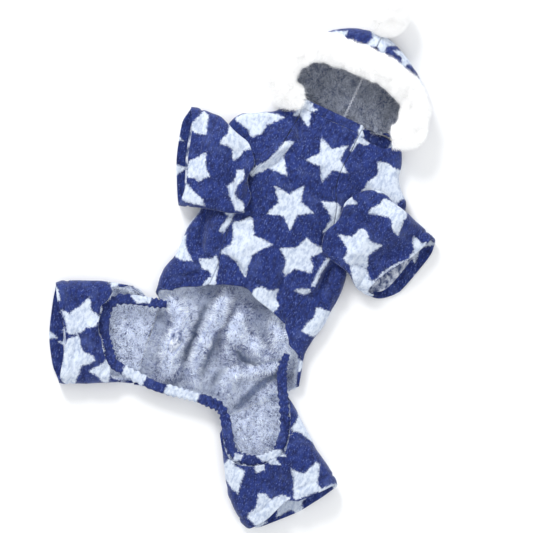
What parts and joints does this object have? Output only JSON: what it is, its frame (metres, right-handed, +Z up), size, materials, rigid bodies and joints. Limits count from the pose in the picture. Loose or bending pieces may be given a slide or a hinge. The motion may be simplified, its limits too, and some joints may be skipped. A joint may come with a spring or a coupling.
{
  "type": "hooded dog jumpsuit",
  "caption": "Fleece dog jumpsuit with short sleeves, hind legs, an open belly and a fur-trimmed hood with a pompom, lying flat on its back.",
  "frame": {"origin": "middle of the bounding box's bottom, on the surface that the jumpsuit lies on", "axes": "+Z up, away from that surface; the spine runs along Y, with the hood and pompom towards +Y; X across the chest"},
  "size_m": [0.3406, 0.5448, 0.0464],
  "materials": {
    "star_fleece": "heathered navy velour printed with pale five-pointed stars, pale grey-blue pile inside",
    "white_fur": "long white plush fur"
  },
  "bodies": {
    "root": {"back_panel": "star_fleece", "chest_panel": "star_fleece", "neck_band": "star_fleece", "sleeve_left": "star_fleece", "sleeve_right": "star_fleece", "hind_leg_left": "star_fleece", "hind_leg_right": "star_fleece", "belly_elastic": "star_fleece", "hood_left_panel": "star_fleece", "hood_right_panel": "star_fleece", "hood_fur_trim": "white_fur", "pompom": "white_fur"}
  },
  "joints": []
}
